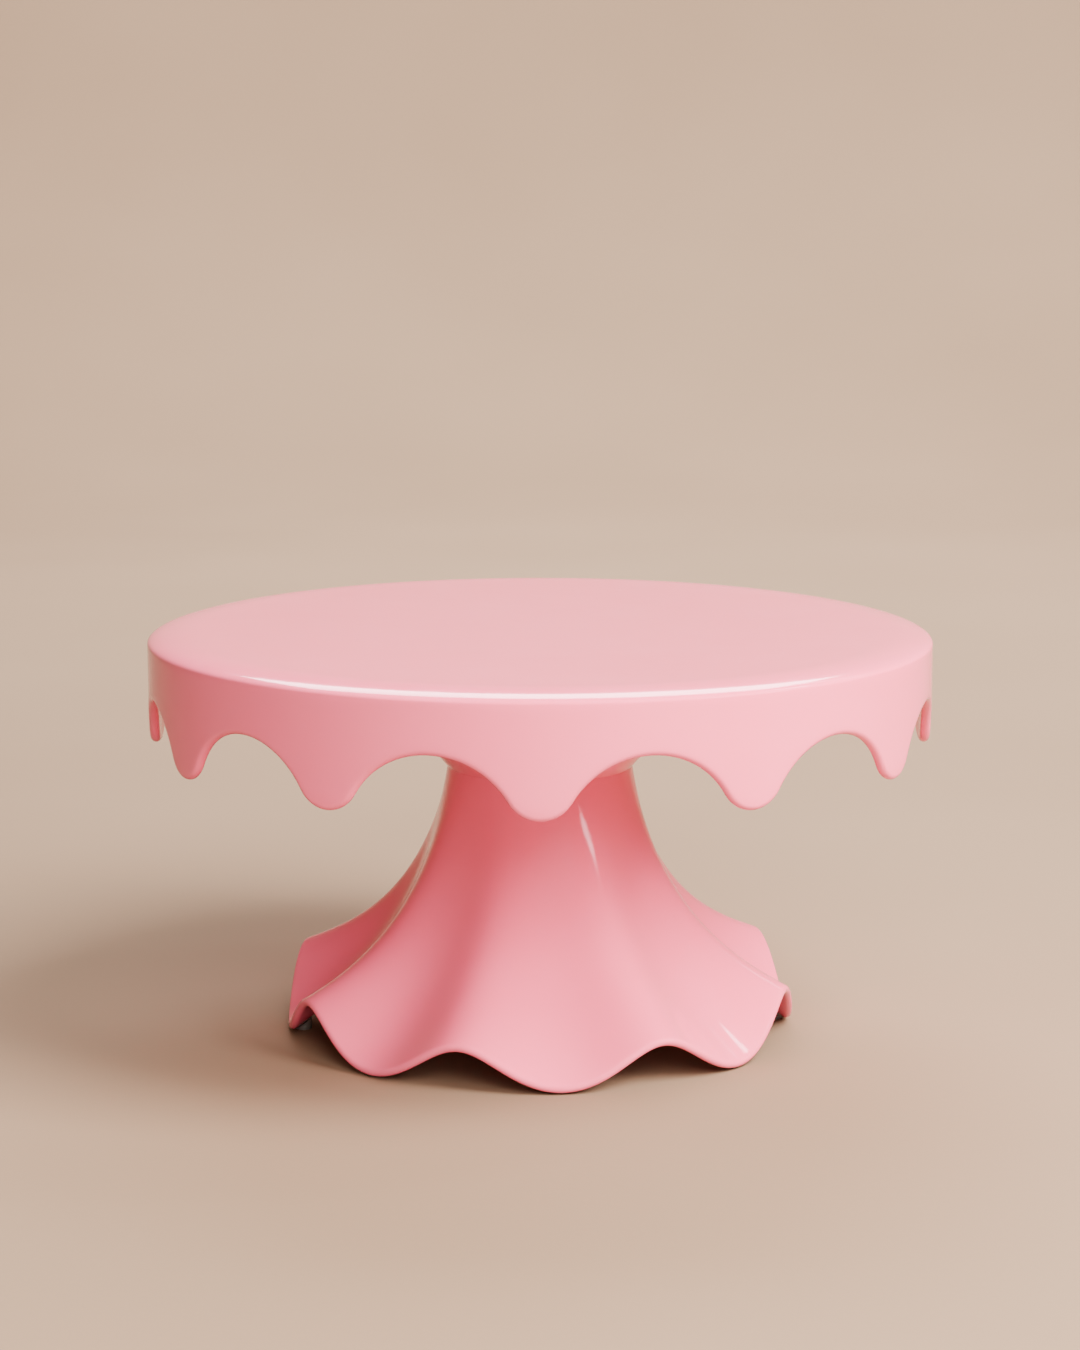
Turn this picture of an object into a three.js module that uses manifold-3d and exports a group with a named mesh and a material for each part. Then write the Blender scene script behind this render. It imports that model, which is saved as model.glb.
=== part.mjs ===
// Cake turntable: a plate with a dripping rim that turns on a ball bearing in the head of a
// fluted pedestal. Millimetres, +Z up, origin on the table at the centre, front towards -Y.
import * as THREE from 'three';
import { mergeVertices } from 'three/addons/utils/BufferGeometryUtils.js';
import Module from 'manifold-3d';

const wasm = await Module();
wasm.setup();

// Overall sizes
const HEIGHT = 157;
const PLATE_RADIUS = 150;
const GAP = 0.3; // between fixed pieces that meet
const TURN_GAP = 1.2; // between pieces that turn against each other

// Plate
const DECK = 6; // thickness of the flat top
const SKIRT_WALL = 4;
const RIM_WIDE = 17.4; // the rim falls away in a flat quarter of an ellipse, this wide
const RIM_DROP = 3.6; // and this deep
const INNER_ROUND = 7; // between the underside and the skirt
const DRIPS = 12;
const DRIP_TIP = 44.6; // depth of a drip's tip below the top
const DRIP_ARCH = 22.4; // depth of the arch between two drips
const DRIP_ROUND = 13; // radius of a drip's round tip
const RIM_STEPS = 5;

// Pedestal
const WALL = 3.4;
const NECK_RADIUS = 35.7;
const NECK_Z = 103.5;
const HEM_RADIUS = 97.6;
const HEM_DROP = 3.1; // from the end of the outer surface down to the bottom of the rounded hem
const FOLDS = 8;
const FOLD_TURN = 27.3; // degrees from the front to the first raised fold
const LIFT_FRONT = 7; // half of a fold's lift at the hem, at the front
const LIFT_MORE = 7; // what the half lift gains towards the back
const FOLD_POWER = 1.3; // how late the folds grow on the way down
const FOLD_CREST = 0.113; // how much sharper the raised folds are than the lobes
const PAD = 0.6; // height of the hem's lobes above the table, taken up by the clear pads
const PAD_RADIUS = 3.2;
const PAD_CIRCLE = 92.4;
const PAD_CLEAR = 0.7; // drawn above a pad, where the real one is glued to the lobe
const NECK_HANDLE = [10.4, -56.4]; // how the mean curve leaves the neck
const HEM_HANDLE = [-24, 14.7]; // and how it comes to the hem
const LEVEL_POWER = 1.65; // how late the folds turn from square to the wall to straight up
const BOSS_RADIUS = 4; // under the web, for the housing's screws
const BOSS_HEIGHT = 5;
const BOSS_INWARD = 0.93; // moved in from the screw circle by this share
const HEAD_RADIUS = 46.5;
const HEAD_Z = 119;

// Bearing and spindle
const WEB_TOP = 110; // floor of the recess in the pedestal's head
const WEB_BOTTOM = 104;
const RECESS_RADIUS = 34.5;
const SPINDLE_RADIUS = 4;
const BUSH_RADIUS = 6;
const BUSH_LENGTH = 11;
const BUSH_FLANGE_RADIUS = 8.5;
const BUSH_FLANGE = 1.5;
const BARREL_RADIUS = 10;
const BARREL_BOTTOM = 82;
const FLANGE = 3;
const BALL_RADIUS = 3;
const BALL_CIRCLE = 23.2;
const BALLS = 12;
const RACE_HALF_WIDTH = 3.8;
const RACE_THICK = 3;
const GROOVE = 1.2;
const HOUSING_SCREWS = 3;
const HOUSING_SCREW_CIRCLE = 30.6;
const HUB_SCREWS = 4;
const HUB_SCREW_CIRCLE = 62;
const SCREW_HOLE = 1.8;
const HUB_FLANGE_RADIUS = 70;
const HUB_FLANGE = 4;

// Heights in the bearing, from the recess floor up
const HOUSING_Z = WEB_TOP + GAP;
const LOWER_RACE_Z = HOUSING_Z + FLANGE + GAP;
const BALL_Z = LOWER_RACE_Z + RACE_THICK - GROOVE + GAP + BALL_RADIUS;
const UPPER_RACE_Z = BALL_Z + BALL_RADIUS + GAP - GROOVE;
const HUB_WEB_Z = UPPER_RACE_Z + RACE_THICK + GAP;
const HUB_WEB = 4;
const HUB_BOSS = 4; // height of the boss round the spindle, above the web
const DECK_BOTTOM = HEIGHT - DECK;
const HUB_TOP = DECK_BOTTOM - GAP;

const FINISHES = {
  pink: { color: 0xf0a0aa, roughness: 0.12, metalness: 0 },
  white: { color: 0xe8e4dc, roughness: 0.45, metalness: 0 },
  steel: { color: 0xb9bcc0, roughness: 0.25, metalness: 1 },
  bronze: { color: 0xa9763f, roughness: 0.4, metalness: 1 },
  nylon: { color: 0xd9d2c0, roughness: 0.5, metalness: 0 },
  clear: { color: 0xdfe6e8, roughness: 0.3, metalness: 0 },
};

const part = new THREE.Group();

function add(name, geometry, finish) {
  const mesh = new THREE.Mesh(geometry, new THREE.MeshStandardMaterial(FINISHES[finish]));
  mesh.name = name;
  part.add(mesh);
  return mesh;
}

// ---- solids -------------------------------------------------------------------------------

const rad = THREE.MathUtils.degToRad;

// Sweeps a closed profile round Z. profileAt(angle) gives [radius, z] pairs, always as many,
// running counter-clockwise where r is to the right and z up. A point at radius 0 is a pole.
function sweep(profileAt, steps) {
  const positions = [];
  const rings = profileAt(0).length;
  for (let i = 0; i < steps; i += 1) {
    const angle = (i / steps) * 2 * Math.PI;
    for (const [r, z] of profileAt(angle)) {
      positions.push(r * Math.sin(angle), -r * Math.cos(angle), z);
    }
  }
  const index = [];
  for (let i = 0; i < steps; i += 1) {
    const next = (i + 1) % steps;
    for (let j = 0; j < rings; j += 1) {
      const up = (j + 1) % rings;
      const a = i * rings + j;
      const b = next * rings + j;
      const c = next * rings + up;
      const d = i * rings + up;
      index.push(a, b, c, a, c, d);
    }
  }
  return closedGeometry(positions, index);
}

// Merges shared points and drops the triangles that have shrunk to a line.
function closedGeometry(positions, index) {
  const loose = new THREE.BufferGeometry();
  loose.setAttribute('position', new THREE.Float32BufferAttribute(positions, 3));
  loose.setIndex(index);
  const merged = mergeVertices(loose, 1e-4);
  const kept = [];
  const ids = merged.index.array;
  for (let i = 0; i < ids.length; i += 3) {
    const [a, b, c] = [ids[i], ids[i + 1], ids[i + 2]];
    if (a !== b && b !== c && a !== c) kept.push(a, b, c);
  }
  merged.setIndex(kept);
  merged.computeVertexNormals();
  return merged;
}

// A turned piece from [radius, z] pairs, counter-clockwise.
function turned(profile, steps = 36) {
  return sweep(() => profile, steps);
}

function disc(radius, bottom, top, steps = 24) {
  return turned([[0, bottom], [radius, bottom], [radius, top], [0, top]], steps);
}

function placed(geometry, x, y, z) {
  return geometry.clone().translate(x, y, z);
}

function solidOf(geometry) {
  const bare = new THREE.BufferGeometry();
  bare.setAttribute('position', geometry.getAttribute('position').clone());
  bare.setIndex(geometry.index ? geometry.index.clone() : null);
  const merged = mergeVertices(bare, 1e-4);
  const mesh = new wasm.Mesh({
    numProp: 3,
    vertProperties: new Float32Array(merged.getAttribute('position').array),
    triVerts: new Uint32Array(merged.index.array),
  });
  return new wasm.Manifold(mesh);
}

function geometryOf(solid) {
  const mesh = solid.getMesh();
  const geometry = new THREE.BufferGeometry();
  geometry.setAttribute('position', new THREE.Float32BufferAttribute(mesh.vertProperties, 3));
  geometry.setIndex(Array.from(mesh.triVerts));
  geometry.computeVertexNormals();
  return geometry;
}

// A geometry with others joined to it and then others cut from it.
function shaped(base, { joined = [], cut = [] }) {
  let solid = solidOf(base);
  for (const piece of joined) solid = solid.add(solidOf(piece));
  for (const piece of cut) solid = solid.subtract(solidOf(piece));
  return geometryOf(solid);
}

// Points spaced evenly on a circle, the first at an angle in degrees from the front.
function circlePoints(count, radius, first = 0) {
  const points = [];
  for (let i = 0; i < count; i += 1) {
    const angle = rad(first) + (i / count) * 2 * Math.PI;
    points.push([radius * Math.sin(angle), -radius * Math.cos(angle)]);
  }
  return points;
}

function arc(cr, cz, radius, from, to, steps) {
  const points = [];
  for (let i = 0; i <= steps; i += 1) {
    const angle = rad(from + ((to - from) * i) / steps);
    points.push([cr + radius * Math.cos(angle), cz + radius * Math.sin(angle)]);
  }
  return points;
}

// ---- plate --------------------------------------------------------------------------------

// Depth of the skirt's lower edge below the top. Unrolled, each drip ends in a small circle,
// and the arch between two drips is a larger circle that touches it.
function dripDepth(angle) {
  const pitch = (2 * Math.PI) / DRIPS;
  const turn = Math.abs(angle - pitch * Math.round(angle / pitch));
  const along = turn * PLATE_RADIUS;
  const half = (pitch / 2) * PLATE_RADIUS;
  const drop = DRIP_TIP - DRIP_ARCH;
  const rise = drop - DRIP_ROUND;
  const archRound = (half ** 2 + rise ** 2 - DRIP_ROUND ** 2) / (2 * drop);
  const meet = (half * DRIP_ROUND) / (DRIP_ROUND + archRound);
  if (along < meet) return DRIP_TIP - DRIP_ROUND + Math.sqrt(DRIP_ROUND ** 2 - along ** 2);
  return DRIP_ARCH + archRound - Math.sqrt(archRound ** 2 - (half - along) ** 2);
}

// The rim's quarter ellipse, from the skirt up to the flat top.
const RIM_CURVE = arc(0, 0, 1, 0, 90, RIM_STEPS).map(([across, up]) => {
  return [PLATE_RADIUS - RIM_WIDE * (1 - across), HEIGHT - RIM_DROP * (1 - up)];
});

function plateProfile(angle) {
  const inner = PLATE_RADIUS - SKIRT_WALL;
  const edge = HEIGHT - dripDepth(angle);
  const lip = SKIRT_WALL / 2;
  return [
    [0, DECK_BOTTOM],
    [inner - INNER_ROUND, DECK_BOTTOM],
    [inner, DECK_BOTTOM - INNER_ROUND],
    ...arc(inner + lip, edge + lip, lip, 180, 360, 3),
    ...RIM_CURVE,
    [0, HEIGHT],
  ];
}

function buildPlate() {
  const plate = sweep(plateProfile, DRIPS * 12);
  const holes = [];
  for (const [x, y] of circlePoints(HUB_SCREWS, HUB_SCREW_CIRCLE, 45)) {
    holes.push(placed(disc(SCREW_HOLE, DECK_BOTTOM - 1, DECK_BOTTOM + 4.6, 12), x, y, 0));
  }
  add('cake_plate', shaped(plate, { cut: holes }), 'pink');
}

// ---- hub, spindle and their fasteners --------------------------------------------------------

function buildHub() {
  const seam = HEAD_Z + TURN_GAP;
  const flangeBottom = HUB_TOP - HUB_FLANGE;
  const webTop = HUB_WEB_Z + HUB_WEB;
  const seat = BALL_CIRCLE + RACE_HALF_WIDTH + GAP;
  const bossRadius = SPINDLE_RADIUS + 5;
  const bossTop = webTop + HUB_BOSS;
  const hub = turned([
    [SPINDLE_RADIUS + GAP, HUB_WEB_Z],
    [HEAD_RADIUS - 6, HUB_WEB_Z],
    [HEAD_RADIUS - 4, seam],
    [HEAD_RADIUS - 0.5, seam],
    [HEAD_RADIUS, seam + 0.8],
    [HEAD_RADIUS + 1.8, seam + 8],
    [HEAD_RADIUS + 5, seam + 16],
    [HEAD_RADIUS + 10, flangeBottom],
    [HUB_FLANGE_RADIUS, flangeBottom],
    [HUB_FLANGE_RADIUS, HUB_TOP],
    [HEAD_RADIUS + 4, HUB_TOP],
    [HEAD_RADIUS - 3, webTop],
    [seat, webTop],
    [bossRadius, webTop],
    [bossRadius, bossTop],
    [SPINDLE_RADIUS + GAP, bossTop],
  ], 40);
  const holes = [];
  for (const [x, y] of circlePoints(HUB_SCREWS, HUB_SCREW_CIRCLE, 45)) {
    holes.push(placed(disc(SCREW_HOLE, flangeBottom - 1, HUB_TOP + 1, 12), x, y, 0));
  }
  add('hub', shaped(hub, { cut: holes }), 'pink');
}

// A pan-head screw whose head sits at headZ; up is +1 where the shank points up.
function screw(headZ, up, headRadius, headHeight, length) {
  const profile = [
    [0, -headHeight],
    [headRadius * 0.7, -headHeight],
    [headRadius, -headHeight * 0.55],
    [headRadius, 0],
    [1.5, 0],
    [1.5, length - 1.2],
    [0, length],
  ];
  const geometry = turned(profile, 10);
  if (up < 0) geometry.rotateX(Math.PI);
  return geometry.translate(0, 0, headZ);
}

function buildHubScrews() {
  const headZ = HUB_TOP - HUB_FLANGE - GAP;
  circlePoints(HUB_SCREWS, HUB_SCREW_CIRCLE, 45).forEach(([x, y], i) => {
    add(`hub_screw_${i + 1}`, placed(screw(headZ, 1, 3.5, 2.4, 8.4), x, y, 0), 'steel');
  });
}

// Steel spindle: a head above the hub's boss, and a groove for the circlip at its foot.
function buildSpindle() {
  const headZ = HUB_WEB_Z + HUB_WEB + HUB_BOSS + GAP;
  const foot = BARREL_BOTTOM - 8;
  const groove = BARREL_BOTTOM - 4.6;
  const r = SPINDLE_RADIUS;
  add('spindle', turned([
    [0, foot],
    [r - 0.8, foot],
    [r, foot + 0.8],
    [r, groove - 0.6],
    [r - 0.9, groove - 0.6],
    [r - 0.9, groove + 0.6],
    [r, groove + 0.6],
    [r, headZ],
    [r + 4, headZ],
    [r + 4, headZ + 2],
    [r + 3, headZ + 3],
    [0, headZ + 3],
  ], 18), 'steel');
  add('retaining_washer', turned([
    [r + GAP, BARREL_BOTTOM - 3.6],
    [BARREL_RADIUS, BARREL_BOTTOM - 3.6],
    [BARREL_RADIUS, BARREL_BOTTOM - 2.4],
    [r + GAP, BARREL_BOTTOM - 2.4],
  ], 18), 'steel');
  add('circlip', circlip(r - 0.9 + GAP, r + 2.2, groove), 'steel');
}

// An open ring, 0.6 mm thick, with its gap to the front.
function circlip(inner, outer, z) {
  const half = 0.3;
  const shape = new THREE.Shape();
  shape.absarc(0, 0, outer, rad(-60), rad(240), false);
  shape.absarc(0, 0, inner, rad(240), rad(-60), true);
  const options = { depth: 2 * half, bevelEnabled: false, curveSegments: 10 };
  const geometry = new THREE.ExtrudeGeometry(shape, options);
  return geometry.translate(0, 0, z - half);
}

// ---- thrust bearing ----------------------------------------------------------------------

// A race washer with a round groove for the balls; groove is +1 on its top, -1 on its bottom.
function race(bottom, groove) {
  const inner = BALL_CIRCLE - RACE_HALF_WIDTH;
  const outer = BALL_CIRCLE + RACE_HALF_WIDTH;
  const seat = BALL_RADIUS + GAP;
  const half = Math.sqrt(seat ** 2 - (seat - GROOVE) ** 2);
  const reach = THREE.MathUtils.radToDeg(Math.asin(half / seat));
  if (groove > 0) {
    const dip = arc(BALL_CIRCLE, BALL_Z, seat, -90 + reach, -90 - reach, 3);
    const face = dip[0][1];
    return turned([[inner, bottom], [outer, bottom], [outer, face], ...dip, [inner, face]], 36);
  }
  const dip = arc(BALL_CIRCLE, BALL_Z, seat, 90 + reach, 90 - reach, 3);
  const top = bottom + RACE_THICK;
  return turned([[inner, dip[0][1]], ...dip, [outer, dip[0][1]], [outer, top], [inner, top]], 36);
}

function buildBearing() {
  add('lower_race', race(LOWER_RACE_Z, 1), 'steel');
  add('upper_race', race(UPPER_RACE_Z, -1), 'steel');
  const ring = new THREE.Shape();
  ring.absarc(0, 0, BALL_CIRCLE + 4.6, 0, 2 * Math.PI, false);
  const bore = new THREE.Path();
  bore.absarc(0, 0, BALL_CIRCLE - 4.6, 0, 2 * Math.PI, true);
  ring.holes.push(bore);
  const places = circlePoints(BALLS, BALL_CIRCLE);
  for (const [x, y] of places) {
    const pocket = new THREE.Path();
    pocket.absarc(x, y, BALL_RADIUS + GAP, 0, 2 * Math.PI, true);
    ring.holes.push(pocket);
  }
  const thick = 2;
  const cage = new THREE.ExtrudeGeometry(ring, { depth: thick, bevelEnabled: false, curveSegments: 8 });
  add('ball_cage', cage.translate(0, 0, BALL_Z - thick / 2), 'nylon');
  const ball = new THREE.SphereGeometry(BALL_RADIUS, 10, 6);
  ball.rotateX(Math.PI / 2);
  places.forEach(([x, y], i) => {
    add(`ball_${i + 1}`, placed(ball, x, y, BALL_Z), 'steel');
  });
}

// ---- bearing housing -----------------------------------------------------------------------

function buildHousing() {
  const bore = BUSH_RADIUS + GAP;
  const top = HOUSING_Z + FLANGE;
  const housing = turned([
    [bore, BARREL_BOTTOM],
    [BARREL_RADIUS - 1, BARREL_BOTTOM],
    [BARREL_RADIUS, BARREL_BOTTOM + 1],
    [BARREL_RADIUS, HOUSING_Z],
    [RECESS_RADIUS - GAP, HOUSING_Z],
    [RECESS_RADIUS - GAP, top],
    [bore, top],
  ], 36);
  const places = circlePoints(HOUSING_SCREWS, HOUSING_SCREW_CIRCLE);
  const hole = disc(SCREW_HOLE, HOUSING_Z - 1, top + 1, 12);
  const holes = places.map(([x, y]) => placed(hole, x, y, 0));
  add('bearing_housing', shaped(housing, { cut: holes }), 'white');
  places.forEach(([x, y], i) => {
    const name = `housing_screw_${i + 1}`;
    add(name, placed(screw(top + GAP, -1, 2.6, 2, 12), x, y, 0), 'steel');
  });
  add('upper_bush', bush(top + GAP, -1), 'bronze');
  add('lower_bush', bush(BARREL_BOTTOM - GAP, 1), 'bronze');
}

// A flanged bush; its sleeve runs from the flange along dir.
function bush(z, dir) {
  const bore = SPINDLE_RADIUS + GAP;
  const sleeve = z + dir * BUSH_LENGTH;
  const lip = z - dir * BUSH_FLANGE;
  const profile = [
    [bore, sleeve],
    [BUSH_RADIUS, sleeve],
    [BUSH_RADIUS, z],
    [BUSH_FLANGE_RADIUS, z],
    [BUSH_FLANGE_RADIUS, lip],
    [bore, lip],
  ];
  return turned(dir < 0 ? profile : profile.reverse(), 18);
}

// ---- pedestal ------------------------------------------------------------------------------

function bezier(t, a, b, c, d) {
  const u = 1 - t;
  return u ** 3 * a + 3 * u * u * t * b + 3 * u * t * t * c + t ** 3 * d;
}

function bezierSlope(t, a, b, c, d) {
  const u = 1 - t;
  return 3 * u * u * (b - a) + 6 * u * t * (c - b) + 3 * t * t * (d - c);
}

// Outer surface of the skirt at a share t of its way down: a mean curve from the neck to the
// hem, pushed out along its normal by folds that grow on the way down.
function skirtPoint(angle, t) {
  const halfLift = LIFT_FRONT + (LIFT_MORE * (1 - Math.cos(angle))) / 2;
  const hem = PAD + HEM_DROP + halfLift * (1 - FOLD_CREST / 2);
  const rs = [NECK_RADIUS, NECK_RADIUS + NECK_HANDLE[0], HEM_RADIUS + HEM_HANDLE[0], HEM_RADIUS];
  const zs = [NECK_Z, NECK_Z + NECK_HANDLE[1], hem + HEM_HANDLE[1], hem];
  const dr = bezierSlope(t, ...rs);
  const dz = bezierSlope(t, ...zs);
  const length = Math.hypot(dr, dz);
  const wave = Math.cos(FOLDS * (angle - rad(FOLD_TURN)));
  const fold = halfLift * t ** FOLD_POWER * (wave + FOLD_CREST * (wave ** 2 - 0.5));
  const level = t ** LEVEL_POWER; // near the hem the folds lift straight up
  const r = bezier(t, ...rs) + fold * (1 - level) * (-dz / length);
  const z = bezier(t, ...zs) + fold * ((1 - level) * (dr / length) + level);
  return [r, z];
}

// Inner surface: the outer one moved in by the wall's thickness.
function skirtInside(angle, t) {
  const step = 0.01;
  const [r, z] = skirtPoint(angle, t);
  const [r0, z0] = skirtPoint(angle, Math.max(t - step, 0));
  const [r1, z1] = skirtPoint(angle, Math.min(t + step, 1));
  const turn = skirtPoint(angle + step, t);
  const along = new THREE.Vector3(0, r1 - r0, z1 - z0);
  const round = new THREE.Vector3(r * step, turn[0] - r, turn[1] - z);
  const normal = new THREE.Vector3().crossVectors(round, along).normalize();
  if (normal.y < 0 && normal.z < 0) normal.negate();
  return [r - WALL * normal.y, z - WALL * normal.z];
}

// The rounded edge of the hem, from the inner surface's end to the outer one's.
function roundLip([r0, z0], [r1, z1]) {
  const [mr, mz] = [(r0 + r1) / 2, (z0 + z1) / 2];
  const [ur, uz] = [(r1 - r0) / 2, (z1 - z0) / 2];
  return [-45, 0, 45].map((turn) => {
    const across = Math.sin(rad(turn));
    const out = Math.cos(rad(turn));
    return [mr + ur * across + uz * out, mz + uz * across - ur * out];
  });
}

const SKIRT_STEPS = 9;

function pedestalProfile(angle) {
  const outside = [];
  const inside = [];
  for (let i = 0; i <= SKIRT_STEPS; i += 1) {
    outside.push(skirtPoint(angle, i / SKIRT_STEPS));
    inside.push(skirtInside(angle, i / SKIRT_STEPS));
  }
  inside[0][1] = WEB_BOTTOM;
  const lip = roundLip(inside[SKIRT_STEPS], outside[SKIRT_STEPS]);
  return [
    ...inside,
    ...lip,
    ...outside.reverse(),
    [HEAD_RADIUS - 1.2, HEAD_Z - 4.6],
    [HEAD_RADIUS, HEAD_Z - 2],
    [HEAD_RADIUS - 0.6, HEAD_Z],
    [HEAD_RADIUS - 4, HEAD_Z],
    [HEAD_RADIUS - 5, HEAD_Z - 4],
    [RECESS_RADIUS, WEB_TOP + 1],
    [RECESS_RADIUS, WEB_TOP],
    [BARREL_RADIUS + GAP, WEB_TOP],
    [BARREL_RADIUS + GAP, WEB_BOTTOM],
  ];
}

function buildPedestal() {
  const shell = sweep(pedestalProfile, FOLDS * 10);
  const places = circlePoints(HOUSING_SCREWS, HOUSING_SCREW_CIRCLE);
  const boss = disc(BOSS_RADIUS, WEB_BOTTOM - BOSS_HEIGHT, WEB_BOTTOM + 1, 16);
  const hole = disc(SCREW_HOLE, WEB_BOTTOM - BOSS_HEIGHT - 1, WEB_TOP + 1, 12);
  const bosses = places.map(([x, y]) => placed(boss, x * BOSS_INWARD, y * BOSS_INWARD, 0));
  const holes = places.map(([x, y]) => placed(hole, x, y, 0));
  add('pedestal', shaped(shell, { joined: bosses, cut: holes }), 'pink');
}

// Height of the skirt's underside above a point of the table, found by halving steps of t.
function undersideAt(x, y) {
  const angle = Math.atan2(x, -y);
  const radius = Math.hypot(x, y);
  let low = 0.5;
  let high = 1;
  for (let i = 0; i < 30; i += 1) {
    const middle = (low + high) / 2;
    if (skirtInside(angle, middle)[0] < radius) low = middle;
    else high = middle;
  }
  return skirtInside(angle, low)[1];
}

// Clear pads under the lobes of the hem: flat on the table, and following the lobe above.
function padGeometry(x, y) {
  const sides = 14;
  const positions = [x, y, 0, x, y, undersideAt(x, y) - PAD_CLEAR];
  const index = [];
  circlePoints(sides, PAD_RADIUS).forEach(([dx, dy], i) => {
    positions.push(x + dx, y + dy, 0, x + dx, y + dy, undersideAt(x + dx, y + dy) - PAD_CLEAR);
    const a = 2 + 2 * i;
    const b = 2 + 2 * ((i + 1) % sides);
    index.push(0, b, a, 1, a + 1, b + 1, a, b, b + 1, a, b + 1, a + 1);
  });
  return closedGeometry(positions, index);
}

function buildPads() {
  const first = FOLD_TURN + 180 / FOLDS;
  circlePoints(FOLDS, PAD_CIRCLE, first).forEach(([x, y], i) => {
    add(`foot_pad_${i + 1}`, padGeometry(x, y), 'clear');
  });
}

buildPlate();
buildHub();
buildHubScrews();
buildSpindle();
buildBearing();
buildHousing();
buildPedestal();
buildPads();

export default part;
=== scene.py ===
"""Cake turntable: a glossy pink plate with a dripping skirt that turns on a ball bearing in the
head of a fluted pedestal. The pieces come in the order in which the turntable is put together,
in metres, with +Z up and the front towards -Y."""

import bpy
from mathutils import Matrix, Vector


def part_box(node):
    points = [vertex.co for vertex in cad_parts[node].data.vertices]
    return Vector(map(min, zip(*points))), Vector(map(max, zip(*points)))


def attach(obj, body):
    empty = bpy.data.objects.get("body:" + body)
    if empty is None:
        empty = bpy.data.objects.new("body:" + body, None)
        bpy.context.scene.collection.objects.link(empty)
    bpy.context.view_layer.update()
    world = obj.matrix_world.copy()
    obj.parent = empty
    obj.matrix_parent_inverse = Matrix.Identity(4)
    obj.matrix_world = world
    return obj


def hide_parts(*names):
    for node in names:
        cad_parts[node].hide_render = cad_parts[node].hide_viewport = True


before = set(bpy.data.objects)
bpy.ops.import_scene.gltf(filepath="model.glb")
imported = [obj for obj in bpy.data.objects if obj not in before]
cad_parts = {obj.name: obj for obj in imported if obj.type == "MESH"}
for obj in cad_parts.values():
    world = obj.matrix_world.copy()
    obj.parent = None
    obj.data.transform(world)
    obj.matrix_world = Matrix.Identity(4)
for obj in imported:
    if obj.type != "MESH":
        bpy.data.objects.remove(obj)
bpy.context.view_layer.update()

import math

import bmesh
import bpy
import numpy as np
from mathutils import Matrix, Vector

MM = 0.001

# ==== Pedestal ====================================================================
# One moulded shell of glossy pink ABS: a slim neck that sweeps out into a fluted hem, and on
# top a flared head with a recess for the bearing. Nodes bend a closed wall into eight folds
# that grow on the way down, and lift the hem more at the back than at the front.

WALL = 3.4 * MM
NECK_RADIUS = 35.7 * MM
NECK_Z = 103.5 * MM
HEAD_RADIUS = 46.5 * MM
HEAD_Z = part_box("pedestal")[1].z
WEB_TOP = 110 * MM
WEB_BOTTOM = 104 * MM
RECESS_RADIUS = 34.5 * MM
BARREL_BORE = 10.3 * MM
HOUSING_SCREW_CIRCLE = 30.6 * MM
NECK_HANDLE = (10.4 * MM, 0, -56.4 * MM)  # how the mean curve leaves the neck
HEM_HANDLE = (-24 * MM, 0, 14.7 * MM)  # and how it comes to the hem
LEVEL_GROWTH = 1.65  # how late the folds turn from square to the wall to straight up
FLUTE = {
    "Folds": 8,
    "First fold": math.radians(27.3),
    "Half lift at the front": 7 * MM,
    "Half lift gained at the back": 7 * MM,
    "Crest": 0.113,
    "Growth": 1.3,
    "Neck radius": NECK_RADIUS,
    "Neck height": NECK_Z,
    "Hem radius": 97.6 * MM,
    "Hem height": 3.7 * MM,
}

FLOAT = "NodeSocketFloat"
VECTOR = "NodeSocketVector"
GEOMETRY = "NodeSocketGeometry"
MATERIAL = "NodeSocketMaterial"
MATH = "ShaderNodeMath"
VECTOR_MATH = "ShaderNodeVectorMath"
MIX = "ShaderNodeMix"


def linear(code):
    """sRGB hex to a linear colour with alpha."""
    shares = [int(code[i : i + 2], 16) / 255 for i in (0, 2, 4)]
    return [s / 12.92 if s <= 0.04045 else ((s + 0.055) / 1.055) ** 2.4 for s in shares] + [1.0]


def node(tree, kind, inputs, **settings):
    """Adds a node. An input takes a value, a socket, or a node, which gives its first output."""
    made = tree.nodes.new(kind)
    for name, value in settings.items():
        setattr(made, name, value)
    for key, value in inputs.items():
        if isinstance(value, bpy.types.Node):
            value = value.outputs[0]
        if isinstance(value, bpy.types.NodeSocket):
            tree.links.new(value, made.inputs[key])
        else:
            made.inputs[key].default_value = value
    return made


def geometry_tree(name, inputs, output, kind):
    """An empty geometry tree with its sockets: the tree, what it is given, and its result."""
    tree = bpy.data.node_groups.new(name, "GeometryNodeTree")
    for label, socket in inputs.items():
        tree.interface.new_socket(label, in_out="INPUT", socket_type=socket)
    tree.interface.new_socket(output, in_out="OUTPUT", socket_type=kind)
    given = tree.nodes.new("NodeGroupInput").outputs
    return tree, given, tree.nodes.new("NodeGroupOutput").inputs[0]


def finish_tree(tree, geometry, material, result):
    """Ends a tree: instances made real, shared points merged, and the material set."""
    real = node(tree, "GeometryNodeRealizeInstances", {0: geometry})
    merged = node(tree, "GeometryNodeMergeByDistance", {0: real, "Distance": 1e-6})
    finished = node(tree, "GeometryNodeSetMaterial", {0: merged, "Material": material})
    tree.links.new(finished.outputs[0], result)


def run_tree(made, tree, values):
    """Runs a geometry tree on an object and keeps what it makes as a plain mesh."""
    modifier = made.modifiers.new(tree.name, "NODES")
    modifier.node_group = tree
    for item in tree.interface.items_tree:
        if item.in_out == "INPUT" and item.name in values:
            modifier[item.identifier] = values[item.name]
    plain(made)


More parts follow.
